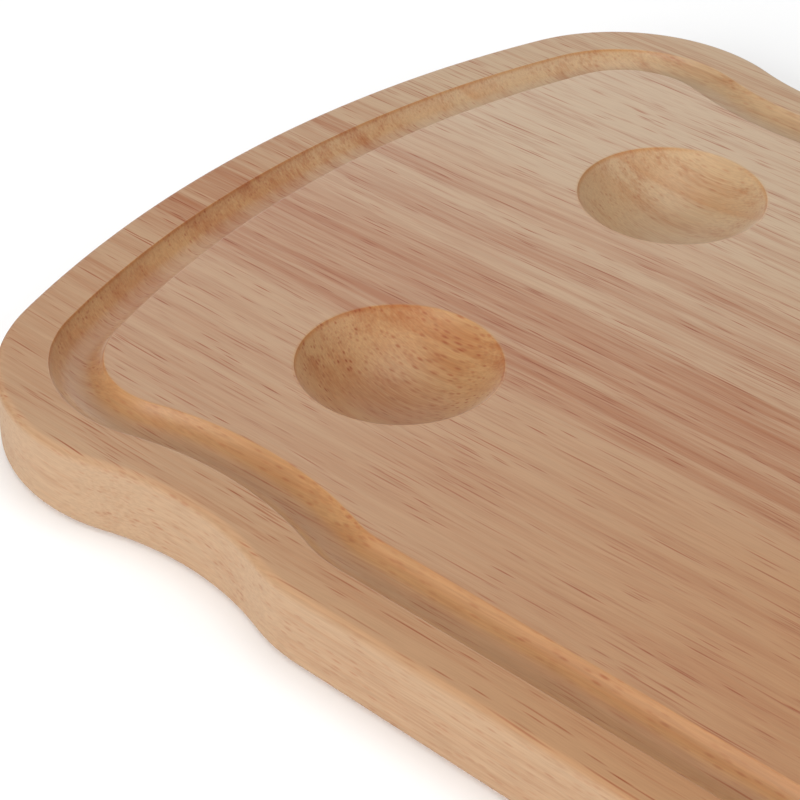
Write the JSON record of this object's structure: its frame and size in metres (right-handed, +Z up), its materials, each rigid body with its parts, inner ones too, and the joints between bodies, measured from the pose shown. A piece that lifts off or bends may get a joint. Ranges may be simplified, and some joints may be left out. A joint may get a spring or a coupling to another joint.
{
  "type": "breakfast board",
  "caption": "Toast-shaped wooden breakfast board with rounded edges, a crumb groove inside its rim and round hollows that hold eggs.",
  "frame": {"origin": "middle of the board's box on its flat underside, on the surface that it rests on", "axes": "+Z up out of the top face, +Y along the grain and the board's length towards the crown, +X across its width"},
  "size_m": [0.236, 0.28, 0.018],
  "materials": {
    "wood": "satin, lightly oiled rubberwood with fine pores and pinkish grain bands"
  },
  "bodies": {
    "root": {"board": "wood"}
  },
  "joints": []
}
